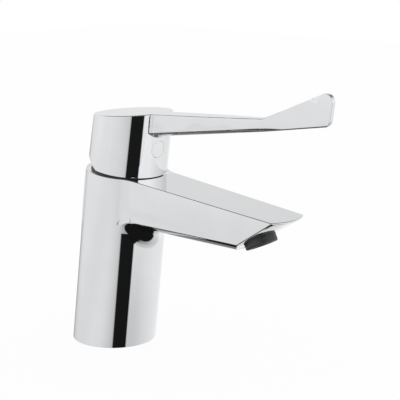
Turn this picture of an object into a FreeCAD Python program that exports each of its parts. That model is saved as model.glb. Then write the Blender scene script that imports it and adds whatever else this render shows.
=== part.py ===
import FreeCAD, Part
import math
import os
import re
import Sketcher

# Single-lever basin mixer: a leaning chrome column with a cast spout, a long lever with an upright paddle,
# and inside it a 35 mm ceramic disc cartridge and an aerator.
# Frame: millimetres, +Z up, +X along the spout, origin on the deck at the centre of the column's foot.

ZERO = FreeCAD.Vector(0, 0, 0)
X_AXIS = FreeCAD.Vector(1, 0, 0)
Y_AXIS = FreeCAD.Vector(0, 1, 0)

SIZES = {
    # Cast body
    "base_radius": 23.0,  # radius of the column at the deck
    "neck_radius": 22.5,  # radius of the column under the lever
    "column_height": 98.0,  # height of the body's top face above the origin
    "column_lean": 7.4,  # forward lean of the column, degrees
    "top_slope": 5.1,  # downward slope of the body's top face, degrees
    "spout_reach": 123.3,  # reach of the spout's tip corners
    "tip_bulge": 4.4,  # how far the tip's front edge bows past its corners
    "heel_bulge": 1.0,  # the same bow at the lower end of the tip's undercut face
    "tip_height": 86.7,  # height of the tip corners
    "undercut_slope": 33.9,  # slope of the tip's undercut face, degrees
    "spout_root_width": 33.4,  # width of the spout where it leaves the column's centre
    "spout_tip_width": 25.4,  # width of the spout at its tip corners
    "belly_height": 66.9,  # height of the spout's rounded underside
    "flank_bottom": 73.0,  # height of the lower edge of the spout's flat sides
    "root_fillet": 13.0,  # fillet between the column and the spout
    "edge_round": 0.5,  # rounding of the casting's and the lever's outer edges
    "casting_wall": 3.6,  # wall of the casting around its water chamber
    # Connections under the foot
    "floor_thickness": 14.0,  # thickness of the casting's floor
    "port_spread": 10.0,  # side distance of each hose port from the middle
    "port_forward": 4.0,  # forward distance of the hose ports
    "port_radius": 4.5,  # wall radius of the M10x1 hose ports
    "port_depth": 11.0,  # depth of the hose ports
    "riser_radius": 2.8,  # radius of the water risers above the ports
    "riser_wall": 2.0,  # wall of the riser tubes inside the chamber
    "stud_setback": 11.0,  # distance of the fixing stud's hole behind the middle
    "stud_radius": 3.4,  # wall radius of the M8 fixing stud's hole
    "stud_depth": 11.5,  # depth of the fixing stud's hole
    "gasket_radius": 20.3,  # outer radius of the foot gasket
    "gasket_width": 2.6,  # radial width of the foot gasket
    "gasket_thickness": 2.0,  # thickness of the foot gasket
    "seal_gap": 0.1,  # clearance of a seal or gasket in its groove
    # Cartridge seat and cartridge
    "seat_forward": 12.3,  # where the cartridge's axis leaves the body's top face
    "cartridge_radius": 17.4,  # outer radius of the 35 mm cartridge
    "bore_gap": 0.15,  # radial clearance of the cartridge in the body
    "seat_depth": 26.5,  # depth of the cartridge's seat below the top face
    "seat_floor": 6.5,  # thickness of the casting between the chamber and the cartridge's seat
    "shoulder_depth": 6.5,  # depth of the cartridge's shoulder below the top face
    "base_thickness": 4.0,  # thickness of the cartridge's base plate
    "disc_thickness": 4.0,  # thickness of each ceramic disc
    "disc_setback": 2.74,  # how far the moving disc stands back when the tap is shut
    "recess_radius": 8.0,  # radius of the moving disc's mixing recess
    "recess_setback": 2.0,  # how far the mixing recess stands behind the disc's centre
    "recess_depth": 2.2,  # depth of the mixing recess
    "inlet_forward": 6.2,  # forward place of the two inlet ports in the discs
    "inlet_side": 6.0,  # side place of the two inlet ports in the discs
    "inlet_radius": 2.6,  # radius of the inlet ports
    "outlet_setback": 4.5,  # place of the outlet port behind the cartridge's axis
    "outlet_radius": 3.8,  # radius of the outlet port
    "ring_width": 1.3,  # radial width of the port seals
    "ring_thickness": 1.2,  # thickness of the port seals
    "peg_radius": 1.5,  # radius of the cartridge's locating pegs
    "peg_side": 13.5,  # side place of the locating pegs
    "peg_length": 2.4,  # length of the locating pegs
    "peg_gap": 0.1,  # clearance round the locating pegs
    "housing_wall": 1.2,  # wall of the cartridge housing
    "roof_thickness": 1.8,  # roof of the cartridge housing
    "throat_radius": 12.5,  # bore of the cartridge housing's throat
    "throat_wall": 1.1,  # wall of the throat
    "throat_height": 3.6,  # height of the throat above the body's top face
    "slide_gap": 0.06,  # running clearance between turning or sliding cartridge pieces
    "carrier_thickness": 4.1,  # thickness of the carrier on the moving disc
    "guide_flange": 1.7,  # thickness of the stem guide's flange
    "guide_slot_length": 19.0,  # length of the stem's slot in the guide
    "limit_ring_thickness": 1.3,  # thickness of the temperature limit ring
    "limit_ring_width": 3.2,  # radial width of the temperature limit ring
    # Lever stem
    "pivot_height": 1.0,  # height of the lever's pivot above the body's top face
    "pin_radius": 1.5,  # radius of the pivot pin
    "pin_length": 22.6,  # length of the pivot pin
    "pin_gap": 0.05,  # running clearance of the stem on its pin
    "ball_drop": 12.7,  # distance of the stem's ball below the pivot
    "ball_radius": 2.7,  # radius of the stem's ball
    "ball_gap": 0.15,  # clearance of the ball in its pocket
    "stem_square": 8.0,  # side of the stem's square
    "stem_top": 21.5,  # height of the stem's end above the pivot
    "shank_radius": 2.3,  # radius of the stem's shank below the pivot
    "knuckle_height": 2.6,  # height of the stem's knuckle either side of the pivot
    # Nut and collar
    "thread_radius": 18.5,  # bore of the casting's nut thread
    "thread_gap": 0.1,  # clearance of the simplified nut thread
    "nut_hex_height": 2.3,  # height of the nut's hexagon above the body's top face
    "collar_radius": 19.0,  # outer radius of the trim collar
    "collar_wall": 0.8,  # wall of the trim collar
    "collar_height": 3.0,  # height of the collar's straight side
    "collar_dome": 1.5,  # height of the collar's sloping rim
    "collar_opening": 14.4,  # radius of the collar's opening
    # Lever handle
    "lever_lean": 9.3,  # forward lean of the lever's hub when shut, degrees
    "hub_radius": 21.4,  # radius of the hub at its lower edge
    "hub_top_radius": 20.8,  # radius of the hub at its top edge
    "hub_height": 31.2,  # height of the hub's top face above the pivot
    "hub_top_slope": 3.6,  # rise of the hub's top face towards the lever, degrees
    "hub_front_gap": 0.4,  # gap between hub and body at the front
    "hub_edge_slope": 1.3,  # slope of the hub's lower edge against its axis, degrees
    "relief_start": 2.7,  # where the hub's rear relief starts behind its axis
    "relief_slope": 23.5,  # slope of the hub's rear relief, degrees
    "hub_wall": 1.9,  # wall of the hub at its lower edge
    "hub_roof": 4.6,  # thickness of the hub's top
    "socket_boss_radius": 8.6,  # radius of the boss round the stem's socket
    "socket_boss_drop": 9.5,  # height of the boss's lower end above the pivot
    "insert_wall": 1.0,  # wall of the stem insert
    "fit_gap": 0.05,  # clearance of the insert and the stem in their sockets
    "insert_length": 12.5,  # length of the stem insert
    "screw_height": 16.2,  # height of the set screw above the pivot
    "screw_radius": 2.5,  # radius of the M5 set screw
    "screw_length": 7.0,  # length of the set screw
    "screw_key": 2.5,  # size of the set screw's hexagon socket
    "screw_boss_radius": 6.2,  # radius of the boss round the set screw
    "plug_radius": 4.5,  # radius of the index plug
    "plug_length": 2.6,  # length of the index plug
    "plug_gap": 0.12,  # clearance round the index plug
    # Lever bar and paddle
    "bar_root": 40.0,  # forward place of the bar's root section
    "bar_middle": 68.0,  # forward place of the bar's middle section
    "bar_taper": 86.0,  # forward place where the bar starts to narrow
    "bar_bend": 108.6,  # forward place of the paddle's bend
    "paddle_start": 120.0,  # forward place where the flat paddle starts
    "bar_root_width": 13.8,  # width of the bar at its root
    "bar_middle_width": 12.4,  # width of the bar at its middle
    "bar_taper_width": 10.1,  # width of the bar where it starts to narrow
    "bar_bend_width": 5.9,  # width of the bar at the bend
    "paddle_thickness": 2.5,  # thickness of the paddle
    "bar_depth_root": 9.5,  # height of the bar's flat sides at its root
    "bar_depth_bend": 4.5,  # height of the bar's flat sides at the bend
    "bar_belly_root": 2.4,  # height of the bar's rounded underside at its root
    "bar_belly_bend": 2.1,  # height of the bar's rounded underside at the bend
    "bar_slope": 3.9,  # rise of the bar's top, degrees
    "paddle_slope": 23.4,  # rise of the paddle's top edge, degrees
    "paddle_under_slope": 9.6,  # rise of the paddle's underside, degrees
    "bend_radius": 8.0,  # radius of the bend between bar and paddle
    "lever_reach": 150.2,  # reach of the paddle's upper corner before its rounding
    "paddle_lean": 7.8,  # lean of the paddle's end face, degrees
    "paddle_corner": 4.0,  # upper corner radius of the paddle
    "paddle_heel": 5.0,  # lower corner radius of the paddle
    "bar_fillet": 1.6,  # fillet between the bar and the hub
    # Aerator
    "outlet_reach": 107.4,  # reach of the outlet's centre
    "outlet_height": 71.0,  # height of the outlet's centre above the deck
    "outlet_tilt": 26.5,  # forward tilt of the water jet, degrees
    "aerator_radius": 8.35,  # outer radius of the aerator's collar
    "aerator_collar": 5.8,  # length of the aerator's collar, partly sunk in the casting
    "aerator_thread": 7.75,  # radius of the aerator's thread
    "aerator_length": 9.4,  # length of the aerator's shell
    "aerator_bore": 6.6,  # bore of the aerator's shell
    "aerator_lip": 0.8,  # lip of the aerator's shell at its mouth
    "screen_thickness": 0.7,  # thickness of the outlet screen
    "screen_hole": 0.42,  # radius of each hole in the outlet screen
    "screen_pitch": 1.3,  # distance between the rings of holes
    "core_length": 3.6,  # length of the jet core
    "core_hole": 0.84,  # radius of each hole in the jet core
    "regulator_hole": 1.26,  # radius of each hole in the flow regulator
    "regulator_length": 2.3,  # length of the flow regulator
    "washer_thickness": 1.4,  # thickness of the aerator's washer
    "channel_radius": 6.2,  # radius of the water channel in the spout
    "channel_height": 77.2,  # height of the water channel in the spout
    "feed_radius": 4.2,  # radius of the channel's last stretch over the aerator
    "feed_height": 81.9,  # height of the channel's last stretch
    "slot_width": 10.0,  # width of the passage from the chamber to the channel
    "slot_height": 4.0,  # height of the passage from the chamber to the channel
    "slot_slope": 35.0,  # rise of the passage from the chamber to the channel, degrees
    "slot_length": 40.0,  # length of the passage, run into the channel
    "slot_back": 12.0,  # how far the passage reaches back into the chamber
    "slot_wall": 2.2,  # distance of the passage's turning place in front of the cartridge
    "channel_wall": 4.5,  # distance of the channel's start in front of the cartridge
    "channel_end": 19.4,  # distance of the channel's end behind the outlet
    "feed_start": 27.4,  # distance of the last stretch's start behind the outlet
    "feed_length": 18.0,  # length of the channel's last stretch
    "aerator_hollow": 2.4,  # depth of the hollow behind the aerator's washer
}

doc = FreeCAD.newDocument("basin_mixer")
sheet = doc.addObject("Spreadsheet::Sheet", "Sizes")
for row, (name, amount) in enumerate(SIZES.items(), 1):
    sheet.set("A%d" % row, name)
    sheet.set("B%d" % row, str(amount))
    sheet.setAlias("B%d" % row, name)
doc.recompute()


def bound(text):
    """The same formula with every alias written as a cell of the sheet."""
    return re.sub(r"[a-z_]+", lambda m: ("Sizes." if m.group(0) in SIZES else "") + m.group(0), text)


def value(text):
    return float(sheet.evalExpression(text))


def bind(thing, **formulas):
    for prop, text in formulas.items():
        thing.setExpression(prop.replace("__", "."), bound(text))
    return thing


def put(thing, x="0", y="0", z="0", turn=None):
    """Place a thing from formulas, leaning forward about the Y axis by turn degrees."""
    thing.Placement = FreeCAD.Placement(ZERO, FreeCAD.Rotation(Y_AXIS, 1))
    bind(thing, Placement__Base__x=x, Placement__Base__y=y, Placement__Base__z=z)
    thing.setExpression("Placement.Rotation.Angle", bound(turn or "0"))
    return thing


# Places of the three leaning frames, as formulas
TOP_FACE = "(column_height - tan(top_slope) * seat_forward)"
PIVOT_X = "(seat_forward + pivot_height * sin(top_slope))"
PIVOT_Z = "(%s + pivot_height * cos(top_slope))" % TOP_FACE


def on_column(thing):
    return put(thing, turn="column_lean")


def on_cartridge(thing):
    return put(thing, x="seat_forward", z=TOP_FACE, turn="top_slope")


def on_hub(thing):
    return put(thing, x=PIVOT_X, z=PIVOT_Z, turn="lever_lean")


def on_aerator(thing):
    return put(thing, x="outlet_reach", z="outlet_height", turn="-outlet_tilt")


def cylinder(name, radius, length, x="0", y="0", z="0"):
    thing = doc.addObject("Part::Cylinder", name)
    bind(thing, Radius=radius, Height=length)
    bind(thing, Placement__Base__x=x, Placement__Base__y=y, Placement__Base__z=z)
    return thing


def cross_cylinder(name, radius, length, axis, x="0", y="0", z="0"):
    """A cylinder along +X or +Y."""
    thing = doc.addObject("Part::Cylinder", name)
    turn = FreeCAD.Rotation(Y_AXIS, 90) if axis == "x" else FreeCAD.Rotation(X_AXIS, -90)
    thing.Placement = FreeCAD.Placement(ZERO, turn)
    bind(thing, Radius=radius, Height=length)
    bind(thing, Placement__Base__x=x, Placement__Base__y=y, Placement__Base__z=z)
    return thing


def block(name, length, width, height, x="0", z="0"):
    """A box centred on the XZ plane; x and z give its lowest rear edge."""
    thing = doc.addObject("Part::Box", name)
    bind(thing, Length=length, Width=width, Height=height)
    bind(thing, Placement__Base__x=x, Placement__Base__y="-(%s) / 2" % width, Placement__Base__z=z)
    return thing


def cut(name, base, *tools):
    thing = doc.addObject("Part::Cut", name)
    thing.Base = base
    thing.Tool = tools[0] if len(tools) == 1 else joined(name + "_tools", *tools)
    return thing


def joined(name, *shapes):
    thing = doc.addObject("Part::MultiFuse", name)
    thing.Shapes = list(shapes)
    return thing


def shared(name, *shapes):
    thing = doc.addObject("Part::MultiCommon", name)
    thing.Shapes = list(shapes)
    return thing


def group(name, *shapes):
    thing = doc.addObject("Part::Compound", name)
    thing.Links = list(shapes)
    return thing


def draw(sketch, points):
    """A closed outline; a third entry of a point makes the stretch that leads to it an arc of that radius,
    to the left of the way from point to point, or to the right where the formula starts with a minus."""
    spots = [FreeCAD.Vector(value(p[0]), value(p[1]), 0) for p in points]
    ends = []
    for k, point in enumerate(points):
        start, end = spots[k - 1], spots[k]
        clockwise = len(point) == 3 and value(point[2]) > 0
        first, last = (end, start) if clockwise else (start, end)
        curve = Part.LineSegment(first, last)
        if len(point) == 3:
            radius = abs(value(point[2]))
            chord = last - first
            rise = radius - math.sqrt(max(radius * radius - chord.Length ** 2 / 4, 0))
            outward = FreeCAD.Vector(chord.y, -chord.x, 0).normalize()
            curve = Part.Arc(first, (first + last) * 0.5 + outward * rise, last)
        sketch.addGeometry(curve, False)
        ends.append((2, 1) if clockwise else (1, 2))
    constraints = []
    formulas = []
    for k, point in enumerate(points):
        following = (k + 1) % len(points)
        constraints.append(Sketcher.Constraint("Coincident", k, ends[k][1], following, ends[following][0]))
        for kind, text in (("DistanceX", point[0]), ("DistanceY", point[1])):
            formulas.append((len(constraints), text))
            constraints.append(Sketcher.Constraint(kind, -1, 1, k, ends[k][1], value(text)))
        if len(point) == 3:
            text = point[2].lstrip("-")
            formulas.append((len(constraints), text))
            constraints.append(Sketcher.Constraint("Radius", k, value(text)))
    sketch.addConstraint(constraints)
    for index, text in formulas:
        sketch.setExpression("Constraints[%d]" % index, bound(text))
    return sketch


def side_sketch(name, points):
    """An outline in the XZ plane."""
    sketch = doc.addObject("Sketcher::SketchObject", name)
    sketch.Placement = FreeCAD.Placement(ZERO, FreeCAD.Rotation(X_AXIS, 90))
    return draw(sketch, points)


def plan_sketch(name, z, points):
    """An outline in a level plane."""
    sketch = doc.addObject("Sketcher::SketchObject", name)
    bind(sketch, Placement__Base__z=z)
    return draw(sketch, points)


def section_sketch(name, x, points):
    """An outline across the spout or the lever, with Y to the right and Z up."""
    sketch = doc.addObject("Sketcher::SketchObject", name)
    sketch.Placement = FreeCAD.Placement(ZERO, FreeCAD.Rotation(FreeCAD.Vector(1, 1, 1), 120))
    bind(sketch, Placement__Base__x=x)
    return draw(sketch, points)


def side_prism(name, width, points):
    """A side outline made solid, equally to both sides of the XZ plane."""
    prism = doc.addObject("Part::Extrusion", name)
    prism.Base = side_sketch(name + "_outline", points)
    prism.DirMode = "Normal"
    prism.Solid = True
    prism.Symmetric = True
    return bind(prism, LengthFwd=width)


def loft(name, *sketches):
    thing = doc.addObject("Part::Loft", name)
    thing.Sections = list(sketches)
    thing.Solid = True
    thing.Ruled = True
    return thing


def turned(name, points):
    """A body turned about its own Z axis; points are radius and height."""
    body = doc.addObject("PartDesign::Body", name)
    plane = [o for o in body.Origin.OriginFeatures if o.Role == "XZ_Plane"][0]
    sketch = body.newObject("Sketcher::SketchObject", name + "_profile")
    sketch.AttachmentSupport = [(plane, "")]
    sketch.MapMode = "FlatFace"
    draw(sketch, points)
    turning = body.newObject("PartDesign::Revolution", name + "_turning")
    turning.Profile = sketch
    turning.ReferenceAxis = (sketch, ["V_Axis"])
    turning.Angle = 360
    return body


def ring_points(inner, outer, bottom, top):
    return [(inner, bottom), (outer, bottom), (outer, top), (inner, top)]


def ring(name, inner, outer, bottom, top):
    return turned(name, ring_points(inner, outer, bottom, top))


NODES = []


def node(thing, label):
    """Name a finished sub-part; the label is its node and its file."""
    thing.Label = label
    NODES.append(thing)
    return thing


# Outside of the casting: a leaning cone and a lofted spout
OVERRUN = "base_radius"
TAPER = "((base_radius - neck_radius) / column_height)"
column = doc.addObject("Part::Cone", "column")
bind(column, Radius1="base_radius + %s * %s" % (OVERRUN, TAPER), Height="column_height + %s * 2" % OVERRUN,
     Radius2="neck_radius - %s * %s" % (OVERRUN, TAPER))
put(column, x="-%s * sin(column_lean)" % OVERRUN, z="-%s * cos(column_lean)" % OVERRUN, turn="column_lean")


def half_width(x):
    """Half the width of the spout, from its root to its tip corners and on."""
    return ("(spout_root_width / 2 - (spout_root_width - spout_tip_width) / 2 / (spout_reach - seat_forward)"
            " * (%s - seat_forward))" % x)


def front_points(level):
    """Plan outline at a level, a little wider than the spout; its bowed front passes the tip corners."""
    reach = "(spout_reach + (%s - tip_height) / tan(undercut_slope))" % level
    rise = "((tip_bulge - heel_bulge) / (tip_height - belly_height))"
    bulge = "(tip_bulge + (%s - tip_height) * %s)" % (level, rise)
    half = half_width(reach)
    radius = "((%s ^ 2 + %s ^ 2) / (2 * %s))" % (half, bulge, bulge)
    root = "(%s + edge_round)" % half_width("seat_forward")
    side = "(%s + edge_round)" % half
    ahead = "(%s + %s - %s + sqrt(%s ^ 2 - %s ^ 2))" % (reach, bulge, radius, radius, side)
    return [("seat_forward", "-" + root), (ahead, "-" + side), (ahead, side, "-" + radius),
            ("seat_forward", root)]


def hull_section(name, x):
    """A section of the spout: flat sides down to one level and a rounded underside."""
    half = half_width(x)
    rise = "(flank_bottom - belly_height)"
    radius = "((%s ^ 2 + %s ^ 2) / (2 * %s))" % (half, rise, rise)
    return section_sketch(name, x, [("-" + half, HIGH), ("-" + half, "flank_bottom"),
                                    (half, "flank_bottom", "-" + radius), (half, HIGH)])


LOW = "(belly_height - edge_round)"
OVER_TIP = "(tip_height + tip_bulge)"
HIGH = "(column_height + tip_bulge * 2)"
front = loft("front", plan_sketch("front_low", LOW, front_points(LOW)),
             plan_sketch("front_over_tip", OVER_TIP, front_points(OVER_TIP)),
             plan_sketch("front_high", HIGH, front_points(OVER_TIP)))
hull = loft("hull", hull_section("hull_root", "seat_forward"),
            hull_section("hull_end", "(spout_reach * 1.3)"))
spout = shared("spout", front, hull)
blank = joined("body_blank", column, spout)


TOUCH = 0.01


def fillet(name, base, radius, chosen):
    """Round the edges of base that the test chosen picks."""
    doc.recompute()
    thing = doc.addObject("Part::Fillet", name)
    thing.Base = base
    amount = value(radius)
    thing.Edges = [(k, amount, amount) for k, edge in enumerate(base.Shape.Edges, 1) if chosen(edge)]
    return thing


def joint_of_column(edge):
    """True for the edges where the spout leaves the column."""
    kinds = [type(face.Surface).__name__ for face in blank.Shape.ancestorsOfType(edge, Part.Face)]
    middle = edge.BoundBox.Center.z
    return kinds.count("Cone") == 1 and value("belly_height") < middle < value(HIGH) - 1


rooted = fillet("rooted_body", blank, "root_fillet", joint_of_column)
REACH = "(spout_reach * 1.5)"
over_top = block("over_top", REACH + " * 2", "base_radius * 4", "column_height", x="-" + REACH)
put(over_top, x="-%s * cos(top_slope)" % REACH, y="-base_radius * 2",
    z="column_height + %s * sin(top_slope)" % REACH, turn="top_slope")
under_deck = block("under_deck", REACH, "base_radius * 4", "base_radius * 3", x="-base_radius * 2",
                   z="-base_radius * 3")
trimmed = cut("trimmed_body", rooted, over_top, under_deck)


def body_rim(edge):
    """True for the rim of the body's top face and for the edges round the spout's front."""
    fall = value("tan(top_slope)")
    on_top = all(abs(v.Z + v.X * fall - value("column_height")) < TOUCH for v in edge.Vertexes)
    return on_top or edge.BoundBox.XMin > value("spout_reach / 2")


outside = fillet("body_outside", trimmed, "edge_round", body_rim)

# Water chamber, risers and ports
CHAMBER_TOP = "(column_height - seat_depth - seat_floor)"
CHAMBER = "(neck_radius - casting_wall)"
chamber = on_column(cylinder("chamber", CHAMBER, "1"))
bind(chamber, Height="%s - floor_thickness" % CHAMBER_TOP)
put(chamber, x="floor_thickness * tan(column_lean)", z="floor_thickness", turn="column_lean")

# A riser runs straight from a hose port to an inlet of the cartridge's seat
SEAT_X = "(seat_forward - seat_depth * sin(top_slope) + inlet_forward * cos(top_slope))"
SEAT_Z = "(%s - seat_depth * cos(top_slope) - inlet_forward * sin(top_slope))" % TOP_FACE


def riser(name, radius, side, start):
    """A leaning rod on the line from a hose port to a seat inlet, from the height start up to the seat."""
    run = (SEAT_X + " - port_forward", "%d * (inlet_side - port_spread)" % side, SEAT_Z)
    rod = doc.addObject("Part::Cylinder", name)
    bind(rod, Radius=radius)
    foot = ["%s + (%s) * (%s) / %s" % (base, way, start, SEAT_Z)
            for base, way in (("port_forward", run[0]), ("%d * port_spread" % side, run[1]))]
    lean = "rotation(vector(-(%s); %s; 0); atan(sqrt((%s) ^ 2 + (%s) ^ 2) / %s))" % (run[1], run[0], *run)
    bind(rod, Placement="placement(vector(%s; %s; %s); %s)" % (*foot, start, lean))
    share = "(1 - (%s) / %s)" % (start, SEAT_Z)
    return bind(rod, Height="sqrt((%s) ^ 2 + (%s) ^ 2 + %s ^ 2) * %s + disc_thickness / 10" % (*run, share))


SIDES = (("left", -1), ("right", 1))
posts = [riser("riser_wall_" + n, "riser_radius + riser_wall", s, "floor_thickness - 1") for n, s in SIDES]
pocket = cut("chamber_space", chamber, *posts)
bores = [riser("riser_bore_" + n, "riser_radius", s, "port_depth - 1") for n, s in SIDES]
ports = [cylinder("hose_port_" + n, "port_radius", "port_depth + 1", x="port_forward",
                  y="%d * port_spread" % s, z="-1") for n, s in SIDES]
stud = cylinder("stud_hole", "stud_radius", "stud_depth + 1", x="-stud_setback", z="-1")
groove = ring("gasket_groove", "gasket_radius - gasket_width - seal_gap", "gasket_radius + seal_gap",
              "-1", "gasket_thickness")

# Cartridge bore, nut thread, peg holes and outlet passage
nut_bore = cylinder("nut_bore", "thread_radius", "shoulder_depth + 4", z="-shoulder_depth")
seat_bore = cylinder("seat_bore", "cartridge_radius + bore_gap", "seat_depth", z="-seat_depth")
peg_holes = [cylinder("peg_hole_" + n, "peg_radius + peg_gap", "peg_length + peg_gap + 1", x="-inlet_forward",
                      y="%d * peg_side" % s, z="-seat_depth - peg_length - peg_gap") for n, s in SIDES]
drain = cylinder("outlet_passage", "outlet_radius", "seat_floor + outlet_radius + 1", x="-outlet_setback",
                 z="-seat_depth - seat_floor - outlet_radius")
cartridge_space = on_cartridge(joined("cartridge_space", nut_bore, seat_bore, drain, *peg_holes))

# Water channel from the chamber along the spout to the aerator
SLOT_X = "(seat_forward + cartridge_radius + slot_wall)"
SLOT_Z = "(%s + edge_round)" % CHAMBER_TOP
slot = block("passage", "slot_length", "slot_width", "slot_height")
put(slot, y="-slot_width / 2", turn="-slot_slope",
    x="%s - slot_back * cos(slot_slope) + slot_height / 2 * sin(slot_slope)" % SLOT_X,
    z="%s - slot_back * sin(slot_slope) - slot_height / 2 * cos(slot_slope)" % SLOT_Z)
CHANNEL_START = "(seat_forward + cartridge_radius + channel_wall)"
CHANNEL_LENGTH = "(outlet_reach - channel_end - %s)" % CHANNEL_START
channel = cross_cylinder("spout_channel", "channel_radius", CHANNEL_LENGTH, "x", x=CHANNEL_START,
                         z="channel_height")
feed = cross_cylinder("outlet_feed", "feed_radius", "feed_length", "x", x="outlet_reach - feed_start",
                      z="feed_height")
BORE_END = "(aerator_length + washer_thickness)"
aerator_space = on_aerator(turned("aerator_space", [
    ("0", "-4"), ("aerator_radius + bore_gap", "-4"), ("aerator_radius + bore_gap", "aerator_collar"),
    ("aerator_thread + thread_gap", "aerator_collar"), ("aerator_thread + thread_gap", BORE_END),
    ("aerator_bore", BORE_END), ("aerator_bore", BORE_END + " + aerator_hollow"),
    ("0", BORE_END + " + aerator_hollow")]))
node(cut("casting", outside, pocket, *bores, *ports, stud, groove, cartridge_space, slot, channel, feed,
         aerator_space), "tap_body")
node(ring("gasket", "gasket_radius - gasket_width", "gasket_radius", "0", "gasket_thickness"), "foot_gasket")

# Cartridge base with its seals
SEAT = "-seat_depth"
BASE_TOP = "(base_thickness - seat_depth)"
PORTS = (("left", "inlet_forward", "-inlet_side", "inlet_radius"),
         ("right", "inlet_forward", "inlet_side", "inlet_radius"),
         ("rear", "-outlet_setback", "0", "outlet_radius"))


def port_rings(name, bottom, top, gap):
    """Three rings round the ports, wider than the seals by the gap."""
    rings = []
    for side, x, y, radius in PORTS:
        inner = "%s + (bore_gap + seal_gap) - %s" % (radius, gap)
        outer = "%s + (bore_gap + seal_gap) + ring_width + %s" % (radius, gap)
        one = ring("%s_%s" % (name, side), inner, outer, bottom, top)
        rings.append(put(one, x=x, y=y))
    return rings


def port_holes(name, bottom, length):
    return [cylinder("%s_%s" % (name, side), radius, length, x=x, y=y, z=bottom)
            for side, x, y, radius in PORTS]


base_disc = cylinder("base_disc", "cartridge_radius", "base_thickness", z=SEAT)
pegs = [cylinder("peg_" + n, "peg_radius", "peg_length + 1", x="-inlet_forward", y="%d * peg_side" % s,
                 z="-seat_depth - peg_length") for n, s in SIDES]
base_plate = cut("base_plate", joined("base_with_pegs", base_disc, *pegs),
                 *port_holes("base_port", "-seat_depth - 1", "base_thickness + 2"),
                 *port_rings("lower_groove", SEAT, "ring_thickness - seat_depth", "seal_gap"),
                 *port_rings("upper_groove", BASE_TOP + " - ring_thickness", BASE_TOP, "seal_gap"))
node(on_cartridge(base_plate), "cartridge_base")
lower_seals = port_rings("lower_seal", SEAT, "ring_thickness - seat_depth", "0")
upper_seals = port_rings("upper_seal", BASE_TOP + " - ring_thickness", BASE_TOP, "0")
node(on_cartridge(group("lower_seals", *lower_seals)), "port_seals")
node(on_cartridge(group("upper_seals", *upper_seals)), "disc_seals")

# Ceramic discs and the carrier that slides the upper one
HOUSING_BORE = "(cartridge_radius - housing_wall)"
DISC_TOP = "(%s + disc_thickness)" % BASE_TOP
SLIDER_TOP = "(%s + disc_thickness * 2)" % BASE_TOP
SLIDER_RADIUS = "(%s - disc_setback - 1)" % HOUSING_BORE
BALL_X = "(ball_drop * sin(top_slope - lever_lean))"
lower_disc = cylinder("lower_disc", HOUSING_BORE + " - seal_gap", "disc_thickness", z=BASE_TOP)
disc_ports = port_holes("disc_port", BASE_TOP + " - 1", "disc_thickness + 2")
node(on_cartridge(cut("lower_disc_bored", lower_disc, *disc_ports)), "fixed_disc")
upper_disc = cylinder("upper_disc", SLIDER_RADIUS, "disc_thickness", x="-disc_setback", z=DISC_TOP)
recess = cylinder("mixing_recess", "recess_radius", "recess_depth + 1", x="-disc_setback - recess_setback",
                  z=DISC_TOP + " - 1")
node(on_cartridge(cut("upper_disc_hollow", upper_disc, recess)), "moving_disc")
carrier_disc = cylinder("carrier_disc", SLIDER_RADIUS + " - bore_gap", "carrier_thickness", x="-disc_setback",
                        z=SLIDER_TOP)
ball_pocket = cylinder("ball_pocket", "ball_radius + ball_gap", "carrier_thickness + 2", x=BALL_X,
                       z=SLIDER_TOP + " - 1")
node(on_cartridge(cut("carrier_bored", carrier_disc, ball_pocket)), "disc_carrier")

# Cartridge housing and the guide that turns in its throat
ROOF_TOP = "(-shoulder_depth)"
ROOF = "(-shoulder_depth - roof_thickness)"
THROAT_OUT = "(throat_radius + throat_wall)"
housing = turned("housing", [
    (HOUSING_BORE, BASE_TOP), ("cartridge_radius", BASE_TOP), ("cartridge_radius", ROOF_TOP),
    (THROAT_OUT, ROOF_TOP), (THROAT_OUT, "throat_height"), ("throat_radius", "throat_height"),
    ("throat_radius", ROOF), (HOUSING_BORE, ROOF)])
node(on_cartridge(housing), "cartridge_housing")
FLANGE_TOP = "(%s - slide_gap)" % ROOF
NECK = "(throat_radius - slide_gap)"
NECK_TOP = "(throat_height + slide_gap)"
SEAL_FLOOR = "(%s / 2)" % ROOF
SEAL_ROOM = "(%s + ring_thickness + seal_gap)" % SEAL_FLOOR
guide_blank = turned("guide_blank", [
    ("0", FLANGE_TOP + " - guide_flange"), (HOUSING_BORE + " - slide_gap", FLANGE_TOP + " - guide_flange"),
    (HOUSING_BORE + " - slide_gap", FLANGE_TOP), (NECK, FLANGE_TOP), (NECK, SEAL_FLOOR),
    (NECK + " - ring_width", SEAL_FLOOR), (NECK + " - ring_width", SEAL_ROOM), (NECK, SEAL_ROOM),
    (NECK, NECK_TOP), ("0", NECK_TOP)])
stem_slot = block("stem_slot", "guide_slot_length", "stem_square + bore_gap * 2", "seat_depth",
                  x="-guide_slot_length / 2", z="-seat_depth / 2")
pin_hole = cross_cylinder("pin_hole", "pin_radius + pin_gap", "throat_radius * 4", "y",
                          y="-throat_radius * 2", z="pivot_height")
node(on_cartridge(cut("guide", guide_blank, stem_slot, pin_hole)), "stem_guide")
guide_seal = ring("guide_seal", NECK + " - ring_width", NECK, SEAL_FLOOR, SEAL_FLOOR + " + ring_thickness")
node(on_cartridge(guide_seal), "guide_o_ring")
LIMIT_OUT = "(%s - bore_gap * 2)" % THROAT_OUT
limit_blank = ring("limit_blank", LIMIT_OUT + " - limit_ring_width", LIMIT_OUT, NECK_TOP,
                   NECK_TOP + " + limit_ring_thickness")
limit_notch = block("limit_notch", "limit_ring_width * 2", "limit_ring_width * 2", "limit_ring_thickness",
                    x="-" + LIMIT_OUT + " - limit_ring_width", z=NECK_TOP + " + limit_ring_thickness / 2")
node(on_cartridge(cut("limit", limit_blank, limit_notch)), "limit_ring")
pin = cross_cylinder("pin", "pin_radius", "pin_length", "y", x=PIVOT_X, y="-pin_length / 2", z=PIVOT_Z)
node(pin, "pivot_pin")

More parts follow.
